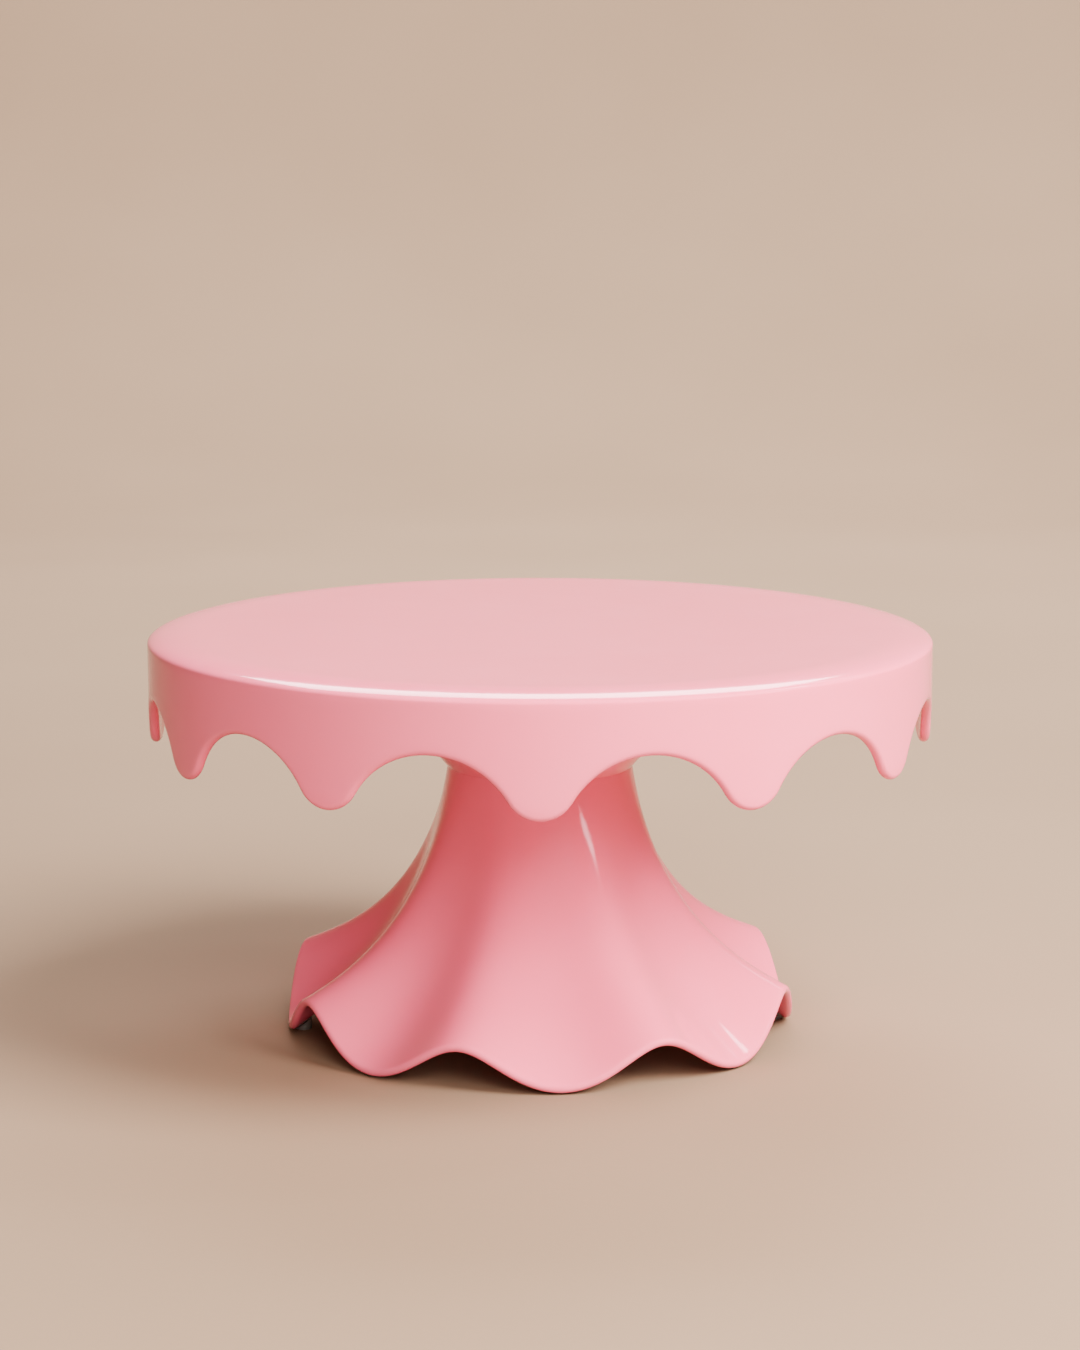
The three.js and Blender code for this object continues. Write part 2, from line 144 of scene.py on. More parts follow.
def plain(made, edge_angle=35):
    """Applies the modifiers, with smooth shading that keeps the sharp edges."""
    graph = bpy.context.evaluated_depsgraph_get()
    mesh = bpy.data.meshes.new_from_object(made.evaluated_get(graph))
    made.modifiers.clear()
    made.data = mesh
    mesh.polygons.foreach_set("use_smooth", [True] * len(mesh.polygons))
    mesh.set_sharp_from_angle(angle=math.radians(edge_angle))


def mesh_object(name, points, faces, material=None):
    """An object from points and faces, its doubles merged and its faces turned outwards."""
    mesh = bpy.data.meshes.new(name)
    mesh.from_pydata(np.asarray(points).tolist(), [], faces)
    work = bmesh.new()
    work.from_mesh(mesh)
    bmesh.ops.remove_doubles(work, verts=work.verts, dist=1e-7)
    bmesh.ops.recalc_face_normals(work, faces=work.faces)
    work.to_mesh(mesh)
    work.free()
    made = bpy.data.objects.new(name, mesh)
    bpy.context.scene.collection.objects.link(made)
    if material:
        mesh.materials.append(material)
    return made


def ring_faces(columns, rows):
    """Faces of a grid of columns that closes on itself round both ways."""
    faces = []
    for c in range(columns):
        n = (c + 1) % columns
        for r in range(rows):
            u = (r + 1) % rows
            faces.append((c * rows + r, n * rows + r, n * rows + u, c * rows + u))
    return faces


def rounded(profile, radius, steps=3):
    """A closed profile with its corners made round, except where it meets the axis."""
    result = []
    for i, corner in enumerate(profile):
        corner = np.array(corner, float)
        to_last = np.array(profile[i - 1]) - corner
        to_next = np.array(profile[(i + 1) % len(profile)]) - corner
        lengths = np.linalg.norm(to_last), np.linalg.norm(to_next)
        bend = math.acos(np.clip(to_last @ to_next / (lengths[0] * lengths[1]), -1, 1))
        if corner[0] == 0 or math.pi - bend < math.radians(12):
            result.append(corner)
            continue
        reach = min(radius / math.tan(bend / 2), 0.45 * lengths[0], 0.45 * lengths[1])
        start = corner + to_last / lengths[0] * reach
        end = corner + to_next / lengths[1] * reach
        for u in np.linspace(0, 1, steps + 1):
            result.append((1 - u) ** 2 * start + 2 * u * (1 - u) * corner + u * u * end)
    return np.array(result)


def new_material(name, **values):
    """A material, its node tree, and its shader with uniform values on the shader's sockets."""
    material = bpy.data.materials.new(name)
    material.use_nodes = True
    shader = material.node_tree.nodes["Principled BSDF"]
    for key, value in values.items():
        shader.inputs[key.replace("_", " ")].default_value = value
    return material, material.node_tree, shader


# Gloss ABS coloured through: the eye gets a clean, wet shine over a soft pink that varies a
# little with the pigment, small changes in polish, and a trace of orange peel in reflections.
pink_abs, tree, shader = new_material(
    "gloss_pink_abs",
    IOR=1.52,
    Subsurface_Weight=0.12,
    Subsurface_Radius=(1.0, 0.4, 0.35),
    Subsurface_Scale=2.5 * MM,
)
place = node(tree, "ShaderNodeTexCoord", {}).outputs["Object"]
cloud = node(tree, "ShaderNodeTexNoise", {"Vector": place, "Scale": 1 / (45 * MM), "Detail": 3.0})
pigment = node(
    tree,
    MIX,
    {0: cloud, 6: linear("ea7389"), 7: linear("ee7a90")},
    data_type="RGBA",
)
tree.links.new(pigment.outputs[2], shader.inputs["Base Color"])
touch = node(tree, "ShaderNodeTexNoise", {"Vector": place, "Scale": 1 / (14 * MM), "Detail": 4.0})
polish = node(tree, "ShaderNodeMapRange", {0: touch, 1: 0.3, 2: 0.7, 3: 0.09, 4: 0.13})
tree.links.new(polish.outputs[0], shader.inputs["Roughness"])
peel = node(tree, "ShaderNodeTexNoise", {"Vector": place, "Scale": 1 / (2.2 * MM), "Detail": 1.0})
skin = node(tree, "ShaderNodeBump", {"Height": peel, "Strength": 0.25, "Distance": 0.01 * MM})
tree.links.new(skin.outputs[0], shader.inputs["Normal"])

# a point of the outer surface, from its angle round the axis and its share of the way down
flute_inputs = {"Angle": FLOAT, "Down": FLOAT, **{label: FLOAT for label in FLUTE}}
flute_point, given, result = geometry_tree("flute_point", flute_inputs, "Point", VECTOR)
tree = flute_point
facing = node(tree, MATH, {0: given["Angle"]}, operation="COSINE")
behind = node(tree, MATH, {0: facing, 1: -0.5, 2: 0.5}, operation="MULTIPLY_ADD")
lift = node(
    tree,
    MATH,
    {0: behind, 1: given["Half lift gained at the back"], 2: given["Half lift at the front"]},
    operation="MULTIPLY_ADD",
)
level = node(tree, MATH, {0: given["Crest"], 1: -0.5, 2: 1.0}, operation="MULTIPLY_ADD")
hem = node(tree, MATH, {0: lift, 1: level, 2: given["Hem height"]}, operation="MULTIPLY_ADD")
neck_place = {"X": given["Neck radius"], "Z": given["Neck height"]}
neck_end = node(tree, "ShaderNodeCombineXYZ", neck_place)
hem_end = node(tree, "ShaderNodeCombineXYZ", {"X": given["Hem radius"], "Z": hem})
points = [
    neck_end,
    node(tree, VECTOR_MATH, {0: neck_end, 1: NECK_HANDLE}, operation="ADD"),
    node(tree, VECTOR_MATH, {0: hem_end, 1: HEM_HANDLE}, operation="ADD"),
    hem_end,
]
while len(points) > 1:
    spans = list(zip(points, points[1:]))
    points = []
    for start, end in spans:
        ends = {0: given["Down"], 4: start, 5: end}
        mixed = node(tree, MIX, ends, data_type="VECTOR", clamp_factor=False)
        points.append(mixed.outputs[1])
slope = node(tree, VECTOR_MATH, {0: spans[0][1], 1: spans[0][0]}, operation="SUBTRACT")
along = node(tree, VECTOR_MATH, {0: slope}, operation="NORMALIZE")
outward = node(tree, VECTOR_MATH, {0: along, 1: (0, 1, 0)}, operation="CROSS_PRODUCT")
from_fold = node(tree, MATH, {0: given["Angle"], 1: given["First fold"]}, operation="SUBTRACT")
phase = node(tree, MATH, {0: from_fold, 1: given["Folds"]}, operation="MULTIPLY")
wave = node(tree, MATH, {0: phase}, operation="COSINE")
square = node(tree, MATH, {0: wave, 1: wave, 2: -0.5}, operation="MULTIPLY_ADD")
crested = node(tree, MATH, {0: square, 1: given["Crest"], 2: wave}, operation="MULTIPLY_ADD")
growth = node(tree, MATH, {0: given["Down"], 1: given["Growth"]}, operation="POWER")
height = node(tree, MATH, {0: growth, 1: lift}, operation="MULTIPLY")
push = node(tree, MATH, {0: height, 1: crested}, operation="MULTIPLY")
upright = node(tree, MATH, {0: given["Down"], 1: LEVEL_GROWTH}, operation="POWER")
ends = {0: upright, 4: outward, 5: (0, 0, 1)}
heading = node(tree, MIX, ends, data_type="VECTOR", clamp_factor=False).outputs[1]
folded = node(tree, VECTOR_MATH, {0: heading, 1: push, 2: points[0]}, operation="MULTIPLY_ADD")
quarter = node(tree, MATH, {0: given["Angle"], 1: math.pi / 2}, operation="SUBTRACT")
around = {"Vector": folded, "Angle": quarter}
turned_point = node(tree, "ShaderNodeVectorRotate", around, rotation_type="Z_AXIS")
tree.links.new(turned_point.outputs[0], result)

# the wall: each point stands off the outer surface along its normal, and past its end for the
# round lip of the hem
shell_inputs = {"Mesh": GEOMETRY, "Material": MATERIAL, **{label: FLOAT for label in FLUTE}}
fluted_shell, given, result = geometry_tree("fluted_shell", shell_inputs, "Mesh", GEOMETRY)
tree = fluted_shell
named = {
    label: node(tree, "GeometryNodeInputNamedAttribute", {"Name": label}).outputs[0]
    for label in ("angle", "down", "outset", "beyond")
}
sizes = {label: given[label] for label in FLUTE}
step = 0.004  # how far along the surface its slopes are measured
next_angle = node(tree, MATH, {0: named["angle"], 1: step}, operation="ADD")
less_down = node(tree, MATH, {0: named["down"], 1: step}, operation="SUBTRACT")
here, beside, above = [
    node(tree, "GeometryNodeGroup", {"Angle": angle, "Down": down, **sizes}, node_tree=flute_point)
    for angle, down in (
        (named["angle"], named["down"]),
        (next_angle, named["down"]),
        (named["angle"], less_down),
    )
]
across = node(tree, VECTOR_MATH, {0: beside, 1: here}, operation="SUBTRACT")
fall = node(tree, VECTOR_MATH, {0: here, 1: above}, operation="SUBTRACT")
upward = node(tree, VECTOR_MATH, {0: fall, 1: across}, operation="CROSS_PRODUCT")
normal = node(tree, VECTOR_MATH, {0: upward}, operation="NORMALIZE")
off_hem = node(tree, VECTOR_MATH, {0: across, 1: normal}, operation="CROSS_PRODUCT")
past = node(tree, VECTOR_MATH, {0: off_hem}, operation="NORMALIZE")
inset = {0: normal, 1: named["outset"], 2: here}
stood_off = node(tree, VECTOR_MATH, inset, operation="MULTIPLY_ADD")
lip = {0: past, 1: named["beyond"], 2: stood_off}
wall_point = node(tree, VECTOR_MATH, lip, operation="MULTIPLY_ADD")
in_skirt = node(
    tree,
    "FunctionNodeCompare",
    {0: named["down"], 1: -0.5},
    data_type="FLOAT",
    operation="GREATER_THAN",
)
moved = node(
    tree,
    "GeometryNodeSetPosition",
    {"Geometry": given["Mesh"], "Selection": in_skirt, "Position": wall_point},
)
finish_tree(tree, moved, given["Material"], result)

columns = 48 * FLUTE["Folds"]
outer_rows, inner_rows, lip_rows = 64, 36, 8
rows = []  # radius, height, share of the way down (-1 in the head), outset, beyond the hem
head = [
    (NECK_RADIUS - WALL, WEB_BOTTOM),
    (BARREL_BORE, WEB_BOTTOM),
    (BARREL_BORE, WEB_TOP),
    (RECESS_RADIUS, WEB_TOP),
    (RECESS_RADIUS, WEB_TOP + 1 * MM),
    (HEAD_RADIUS - 5 * MM, HEAD_Z - 4 * MM),
    (HEAD_RADIUS - 4 * MM, HEAD_Z),
    (HEAD_RADIUS - 0.6 * MM, HEAD_Z),
    (HEAD_RADIUS, HEAD_Z - 2 * MM),
    (HEAD_RADIUS - 1.2 * MM, HEAD_Z - 4.6 * MM),
    (NECK_RADIUS, NECK_Z),
]
rows += [(r, z, -1, 0, 0) for r, z in rounded(head, 0.8 * MM)[:-4]]
rows += [(0, 0, down, 0, 0) for down in np.linspace(0, 1, outer_rows)]
for turn in np.linspace(0, math.pi, lip_rows + 2)[1:-1]:
    rows.append((0, 0, 1, -WALL / 2 * (1 - math.cos(turn)), WALL / 2 * math.sin(turn)))
rows += [(0, 0, down, -WALL, 0) for down in np.linspace(1, 0.03, inner_rows)]
rows = np.array(rows)
angles = np.arange(columns) / columns * math.tau
sin, cos = np.sin(angles)[:, None], np.cos(angles)[:, None]
spread = np.stack([rows[:, 0] * sin, -rows[:, 0] * cos, rows[:, 1] + 0 * sin], axis=2)
mesh = bpy.data.meshes.new("pedestal")
mesh.from_pydata(spread.reshape(-1, 3).tolist(), [], ring_faces(columns, len(rows)))
for label, values in (
    ("angle", np.repeat(angles, len(rows))),
    ("down", np.tile(rows[:, 2], columns)),
    ("outset", np.tile(rows[:, 3], columns)),
    ("beyond", np.tile(rows[:, 4], columns)),
):
    mesh.attributes.new(label, "FLOAT", "POINT").data.foreach_set("value", values)
pedestal = bpy.data.objects.new("pedestal_shell", mesh)
bpy.context.scene.collection.objects.link(pedestal)
run_tree(pedestal, fluted_shell, {"Material": pink_abs, **FLUTE})
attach(pedestal, "pedestal")
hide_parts("pedestal")

# ==== Foot pads ===================================================================
# Eight small wedges of clear silicone glued under the lobes of the hem, so that the pedestal
# grips the table. Each is flat below, and its slanted top follows the lobe above.

PAD_RADIUS = 3.2 * MM
PAD_CIRCLE = 92.4 * MM
PAD_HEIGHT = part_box("foot_pad_1")[1].z
PAD_SLOPE = 0.72
PAD_EDGE = 0.36 * MM  # the wedge's height at its thin end

# pieces spaced evenly round the axis, each turned with its place
around_inputs = {
    "Piece": "NodeSocketObject",
    "Count": "NodeSocketInt",
    "Circle radius": FLOAT,
    "First angle": FLOAT,
    "Height": FLOAT,
    "Material": MATERIAL,
}
around_axis, given, result = geometry_tree("around_axis", around_inputs, "Mesh", GEOMETRY)
tree = around_axis
index = node(tree, "GeometryNodeInputIndex", {})
share = node(tree, MATH, {0: index, 1: given["Count"]}, operation="DIVIDE")
full_turn = {0: share, 1: math.tau, 2: given["First angle"]}
angle = node(tree, MATH, full_turn, operation="MULTIPLY_ADD")
front = node(tree, MATH, {0: given["Circle radius"], 1: -1.0}, operation="MULTIPLY")
at_front = node(tree, "ShaderNodeCombineXYZ", {"Y": front, "Z": given["Height"]})
turned_place = {"Vector": at_front, "Angle": angle}
spot = node(tree, "ShaderNodeVectorRotate", turned_place, rotation_type="Z_AXIS")
spots = node(tree, "GeometryNodePoints", {"Count": given["Count"], "Position": spot})
piece = node(tree, "GeometryNodeObjectInfo", {"Object": given["Piece"]})
turn = node(tree, "ShaderNodeCombineXYZ", {"Z": angle})
placed = node(
    tree,
    "GeometryNodeInstanceOnPoints",
    {"Points": spots, "Instance": piece.outputs["Geometry"], "Rotation": turn},
)
finish_tree(tree, placed, given["Material"], result)


def ring_of(name, piece, count, radius, first, height, material):
    """One mesh of pieces spaced round the axis, made from a single piece."""
    made = bpy.data.objects.new(name, bpy.data.meshes.new(name))
    bpy.context.scene.collection.objects.link(made)
    values = {
        "Piece": piece,
        "Count": count,
        "Circle radius": radius,
        "First angle": first,
        "Height": height,
        "Material": material,
    }
    run_tree(made, around_axis, values)
    bpy.data.objects.remove(piece)
    return made


# Clear silicone: cloudy and soft, with a matt skin. Its grey base is painted shade, darker than
# the clear rubber, so the pads stay as dark as the shade under the lobes.
clear_silicone, tree, shader = new_material(
    "clear_silicone",
    # painted shade: a darker grey than clear silicone, to match the shadow under the hem
    Base_Color=linear("9c9691"),
    IOR=1.41,
    Transmission_Weight=0.75,
)
place = node(tree, "ShaderNodeTexCoord", {}).outputs["Object"]
haze = node(tree, "ShaderNodeTexNoise", {"Vector": place, "Scale": 1 / (1.5 * MM), "Detail": 2.0})
matt = node(tree, "ShaderNodeMapRange", {0: haze, 1: 0.3, 2: 0.7, 3: 0.28, 4: 0.45})
tree.links.new(matt.outputs[0], shader.inputs["Roughness"])

# rings from the middle below to the middle above: height in mm, share of the radius, on top
sides = 40
below = ((0, 0.86, 0), (0.12, 0.96, 0), (0.3, 1, 0))
above = ((-0.25, 1, 1), (-0.08, 0.96, 1), (0, 0.86, 1))
levels = below + above
points, faces = [], []
for drop, share, top in levels:
    for i in range(sides):
        angle = i / sides * math.tau
        x, y = PAD_RADIUS * share * math.sin(angle), -PAD_RADIUS * share * math.cos(angle)
        slant = PAD_HEIGHT - PAD_SLOPE * (PAD_RADIUS - y)
        height = max(slant, PAD_EDGE) + 0.4 * drop * MM if top else drop * MM
        points.append((x, y, height))
for level in range(len(levels) - 1):
    for i in range(sides):
        n = (i + 1) % sides
        low, high = level * sides, (level + 1) * sides
        faces.append((low + i, low + n, high + n, high + i))
last = (len(levels) - 1) * sides
faces += [tuple(range(sides))[::-1], tuple(range(last, last + sides))]
pad = mesh_object("pad", points, faces)
first_lobe = FLUTE["First fold"] + math.pi / FLUTE["Folds"]
pads = ring_of("foot_pads", pad, FLUTE["Folds"], PAD_CIRCLE, first_lobe, 0, clear_silicone)
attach(pads, "pedestal")
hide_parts(*[f"foot_pad_{i + 1}" for i in range(FLUTE["Folds"])])

# ==== Bearing housing and bushes ==================================================
# A flanged barrel of white acetal that drops into the head's recess, with a sintered bronze
# bush pressed into each end for the spindle.

FLANGE_LOW, FLANGE_HIGH = WEB_TOP + 0.3 * MM, WEB_TOP + 3.3 * MM
BARREL_RADIUS = 10 * MM
BARREL_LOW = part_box("bearing_housing")[0].z
BUSH_RADIUS = 6 * MM
BUSH_LENGTH = 11 * MM
BUSH_FLANGE = 1.5 * MM
BUSH_FLANGE_RADIUS = 8.5 * MM
BORE = 4.3 * MM
GAP = 0.3 * MM
SCREW_HOLE = 1.8 * MM


def turned(name, profile, material, edge=0.25 * MM, sides=96):
    """A piece turned about the axis from its closed profile of radius and height."""
    profile = rounded(profile, edge)
    angles = np.arange(sides) / sides * math.tau
    sin, cos = np.sin(angles)[:, None], np.cos(angles)[:, None]
    r, z = profile[:, 0], profile[:, 1]
    points = np.stack([r * sin, -r * cos, z + 0 * sin], axis=2).reshape(-1, 3)
    made = mesh_object(name, points, ring_faces(sides, len(profile)), material)
    made.data.validate()
    weigh(made)
    return made


def weigh(made):
    """Keeps flat faces looking flat beside their small round edges."""
    made.data.polygons.foreach_set("use_smooth", [True] * len(made.data.polygons))
    made.modifiers.new("flat_faces", "WEIGHTED_NORMAL").keep_sharp = True
    plain(made)


def drilled(made, radius, low, high, places):
    """Drills round holes through a piece."""
    for x, y in places:
        drill = bmesh.new()
        depth = high - low
        middle = Matrix.Translation((x, y, (low + high) / 2))
        bmesh.ops.create_cone(
            drill,
            cap_ends=True,
            segments=32,
            radius1=radius,
            radius2=radius,
            depth=depth,
            matrix=middle,
        )
        carve(made, drill)


def carve(made, tool):
    """Cuts a shape out of a piece."""
    mesh = bpy.data.meshes.new("tool")
    tool.to_mesh(mesh)
    tool.free()
    cutter = bpy.data.objects.new("tool", mesh)
    bpy.context.scene.collection.objects.link(cutter)
    cut = made.modifiers.new("cut", "BOOLEAN")
    cut.operation, cut.solver, cut.object = "DIFFERENCE", "EXACT", cutter
    plain(made)
    bpy.data.objects.remove(cutter)


def circle_places(count, radius, first=0.0):
    """Places spaced evenly on a circle, the first at an angle from the front."""
    angles = [first + i / count * math.tau for i in range(count)]
    return [(radius * math.sin(a), -radius * math.cos(a)) for a in angles]


# White acetal: a dense, waxy white with a soft sheen and faint turning marks.
white_acetal, tree, shader = new_material(
    "white_acetal",
    IOR=1.48,
    Subsurface_Weight=0.1,
    Subsurface_Radius=(0.8, 0.7, 0.6),
    Subsurface_Scale=1.5 * MM,
)
place = node(tree, "ShaderNodeTexCoord", {}).outputs["Object"]
cloud = node(tree, "ShaderNodeTexNoise", {"Vector": place, "Scale": 1 / (9 * MM), "Detail": 3.0})
tint = node(tree, MIX, {0: cloud, 6: linear("e6e2d8"), 7: linear("efece4")}, data_type="RGBA")
tree.links.new(tint.outputs[2], shader.inputs["Base Color"])
rings = node(
    tree,
    "ShaderNodeTexWave",
    {"Vector": place, "Scale": 0.314 / (0.35 * MM), "Distortion": 0.4},
    wave_type="RINGS",
    rings_direction="Z",
)
marks = node(tree, "ShaderNodeMapRange", {0: rings, 3: 0.34, 4: 0.46})
tree.links.new(marks.outputs[0], shader.inputs["Roughness"])
grooves = node(tree, "ShaderNodeBump", {"Height": rings, "Strength": 0.3, "Distance": 0.01 * MM})
tree.links.new(grooves.outputs[0], shader.inputs["Normal"])

housing = turned(
    "bearing_housing_barrel",
    [
        (BUSH_RADIUS + GAP, BARREL_LOW),
        (BARREL_RADIUS - 1 * MM, BARREL_LOW),
        (BARREL_RADIUS, BARREL_LOW + 1 * MM),
        (BARREL_RADIUS, FLANGE_LOW),
        (RECESS_RADIUS - GAP, FLANGE_LOW),
        (RECESS_RADIUS - GAP, FLANGE_HIGH),
        (BUSH_RADIUS + GAP, FLANGE_HIGH),
    ],
    white_acetal,
)
housing_places = circle_places(3, HOUSING_SCREW_CIRCLE)
drilled(housing, SCREW_HOLE, FLANGE_LOW - 1 * MM, FLANGE_HIGH + 1 * MM, housing_places)
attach(housing, "pedestal")
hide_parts("bearing_housing")

# Sintered bronze: a warm brown-gold, slightly porous and oily.
sintered_bronze, tree, shader = new_material("sintered_bronze", Metallic=1.0)
place = node(tree, "ShaderNodeTexCoord", {}).outputs["Object"]
pores = node(tree, "ShaderNodeTexNoise", {"Vector": place, "Scale": 1 / (0.4 * MM), "Detail": 5.0})
tint = node(tree, MIX, {0: pores, 6: linear("8a5d33"), 7: linear("c0904f")}, data_type="RGBA")
tree.links.new(tint.outputs[2], shader.inputs["Base Color"])
oil = node(tree, "ShaderNodeMapRange", {0: pores, 1: 0.3, 2: 0.7, 3: 0.3, 4: 0.5})
tree.links.new(oil.outputs[0], shader.inputs["Roughness"])
pitted = node(tree, "ShaderNodeBump", {"Height": pores, "Strength": 0.4, "Distance": 0.02 * MM})
tree.links.new(pitted.outputs[0], shader.inputs["Normal"])

bush_ends = (("upper_bush", FLANGE_HIGH + GAP, 1), ("lower_bush", BARREL_LOW - GAP, -1))
for name, level, up in bush_ends:
    bush = turned(
        name + "_sleeve",
        [
            (BORE, level - up * BUSH_LENGTH),
            (BUSH_RADIUS, level - up * BUSH_LENGTH),
            (BUSH_RADIUS, level),
            (BUSH_FLANGE_RADIUS, level),
            (BUSH_FLANGE_RADIUS, level + up * BUSH_FLANGE),
            (BORE, level + up * BUSH_FLANGE),
        ],
        sintered_bronze,
        sides=64,
    )
    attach(bush, "pedestal")
    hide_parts(name)

# ==== Housing screws ==============================================================
# Three zinc-plated steel screws with pan heads and cross recesses, driven down through the
# housing's flange into bosses under the pedestal's web.


def pan_screw(head_radius, head_height, length):
    """A screw along Z with its head above 0, its shank below and a cross recess in the top."""
    crown = [(1.0, 0), (0.96, 0.45), (0.82, 0.78), (0.6, 0.95), (0.0, 1.0)]
    profile = [(head_radius * r, head_height * z) for r, z in crown]
    profile += [(0, -length), (0.5 * MM, -length + 0.3 * MM)]
    pitch, core, thread = 0.7 * MM, 1.15 * MM, 1.5 * MM
    steps = int((length - 2.4 * MM) / pitch)
    start = -length + 1.2 * MM
    for i in range(steps):
        profile += [(core, start + i * pitch), (thread, start + (i + 0.5) * pitch)]
    profile += [(core, start + steps * pitch), (core, 0)]
    screw = turned("screw", profile, None, edge=0.08 * MM, sides=36)
    for turn in (0, math.pi / 2):
        blade = bmesh.new()
        place = Matrix.Translation((0, 0, head_height)) @ Matrix.Rotation(turn, 4, "Z")
        size = Matrix.Diagonal((0.95 * head_radius, 0.8 * MM, 1.2 * head_height, 1))
        bmesh.ops.create_cube(blade, size=1, matrix=place @ size)
        carve(screw, blade)
    return screw


# Zinc-plated steel: bright cool grey with a fine satin and tiny changes in the plating.
plated_steel, tree, shader = new_material("plated_steel", Metallic=1.0)
place = node(tree, "ShaderNodeTexCoord", {}).outputs["Object"]
film = node(tree, "ShaderNodeTexNoise", {"Vector": place, "Scale": 1 / (1.2 * MM), "Detail": 4.0})
tint = node(tree, MIX, {0: film, 6: linear("b4b8be"), 7: linear("cdd0d4")}, data_type="RGBA")
tree.links.new(tint.outputs[2], shader.inputs["Base Color"])
satin = node(tree, "ShaderNodeMapRange", {0: film, 1: 0.3, 2: 0.7, 3: 0.2, 4: 0.34})
tree.links.new(satin.outputs[0], shader.inputs["Roughness"])

screw = pan_screw(2.6 * MM, 2 * MM, 12 * MM)
screws = ring_of(
    "housing_screws", screw, 3, HOUSING_SCREW_CIRCLE, 0, FLANGE_HIGH + GAP, plated_steel
)
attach(screws, "pedestal")
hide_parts("housing_screw_1", "housing_screw_2", "housing_screw_3")

# ==== Races, balls and cage =======================================================
# A thrust bearing: two ground steel washers with round grooves, twelve steel balls between
# them, and a moulded nylon cage that keeps the balls apart.

BALLS = 12
BALL_RADIUS = 3 * MM
BALL_CIRCLE = 23.2 * MM
BALL_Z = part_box("ball_1")[0].z + BALL_RADIUS
RACE_HALF_WIDTH = 3.8 * MM
RACE_INNER, RACE_OUTER = BALL_CIRCLE - RACE_HALF_WIDTH, BALL_CIRCLE + RACE_HALF_WIDTH
SEAT = BALL_RADIUS + GAP
GROOVE = 1.2 * MM
CAGE_HALF_WIDTH = 4.6 * MM

# Ground bearing steel: dark and bright, with fine rings left by grinding.
ground_steel, tree, shader = new_material("ground_steel", Metallic=1.0)
place = node(tree, "ShaderNodeTexCoord", {}).outputs["Object"]
rings = node(
    tree,
    "ShaderNodeTexWave",
    {"Vector": place, "Scale": 0.314 / (0.12 * MM), "Distortion": 1.5, "Detail": 2.0},
    wave_type="RINGS",
    rings_direction="Z",
)
tint = node(tree, MIX, {0: rings, 6: linear("aeb1b5"), 7: linear("c6c8cb")}, data_type="RGBA")
tree.links.new(tint.outputs[2], shader.inputs["Base Color"])
ground = node(tree, "ShaderNodeMapRange", {0: rings, 3: 0.12, 4: 0.24})
tree.links.new(ground.outputs[0], shader.inputs["Roughness"])

for name, body, up in (("lower_race", "pedestal", 1), ("upper_race", "plate", -1)):
    low, high = (corner.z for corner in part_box(name))
    back, face = (low, high) if up > 0 else (high, low)
    reach = math.acos((SEAT - GROOVE) / SEAT)
    dip = [
        (BALL_CIRCLE + SEAT * math.sin(turn), BALL_Z - up * SEAT * math.cos(turn))
        for turn in np.linspace(reach, -reach, 13)
    ]
    race = turned(
        name + "_washer",
        [(RACE_INNER, back), (RACE_OUTER, back), (RACE_OUTER, face), *dip, (RACE_INNER, face)],
        ground_steel,
        edge=0.2 * MM,
    )
    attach(race, body)
    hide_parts(name)

# Polished steel of the balls: almost a mirror, with a film of grease.
ball_steel, tree, shader = new_material("polished_ball_steel", Metallic=1.0)
place = node(tree, "ShaderNodeTexCoord", {}).outputs["Object"]
grease = node(tree, "ShaderNodeTexNoise", {"Vector": place, "Scale": 1 / (2 * MM), "Detail": 3.0})
tint = node(tree, MIX, {0: grease, 6: linear("bfc2c6"), 7: linear("d8dadc")}, data_type="RGBA")
tree.links.new(tint.outputs[2], shader.inputs["Base Color"])
smear = node(tree, "ShaderNodeMapRange", {0: grease, 1: 0.35, 2: 0.7, 3: 0.05, 4: 0.16})
tree.links.new(smear.outputs[0], shader.inputs["Roughness"])

work = bmesh.new()
bmesh.ops.create_icosphere(work, subdivisions=4, radius=BALL_RADIUS)
ball_mesh = bpy.data.meshes.new("ball")
work.to_mesh(ball_mesh)
work.free()
ball = bpy.data.objects.new("ball", ball_mesh)
bpy.context.scene.collection.objects.link(ball)
balls = ring_of("bearing_balls", ball, BALLS, BALL_CIRCLE, 0, BALL_Z, ball_steel)
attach(balls, "cage")
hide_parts(*[f"ball_{i + 1}" for i in range(BALLS)])

# Moulded nylon: an ivory, slightly translucent plastic with a soft grain.
natural_nylon, tree, shader = new_material(
    "natural_nylon",
    IOR=1.53,
    Subsurface_Weight=0.2,
    Subsurface_Radius=(0.9, 0.8, 0.6),
    Subsurface_Scale=1 * MM,
)
place = node(tree, "ShaderNodeTexCoord", {}).outputs["Object"]
grain = node(tree, "ShaderNodeTexNoise", {"Vector": place, "Scale": 1 / (0.5 * MM), "Detail": 4.0})
tint = node(tree, MIX, {0: grain, 6: linear("d3cbb6"), 7: linear("e2dccb")}, data_type="RGBA")
tree.links.new(tint.outputs[2], shader.inputs["Base Color"])
sheen = node(tree, "ShaderNodeMapRange", {0: grain, 1: 0.3, 2: 0.7, 3: 0.38, 4: 0.55})
tree.links.new(sheen.outputs[0], shader.inputs["Roughness"])
texture = node(tree, "ShaderNodeBump", {"Height": grain, "Strength": 0.3, "Distance": 0.01 * MM})
tree.links.new(texture.outputs[0], shader.inputs["Normal"])


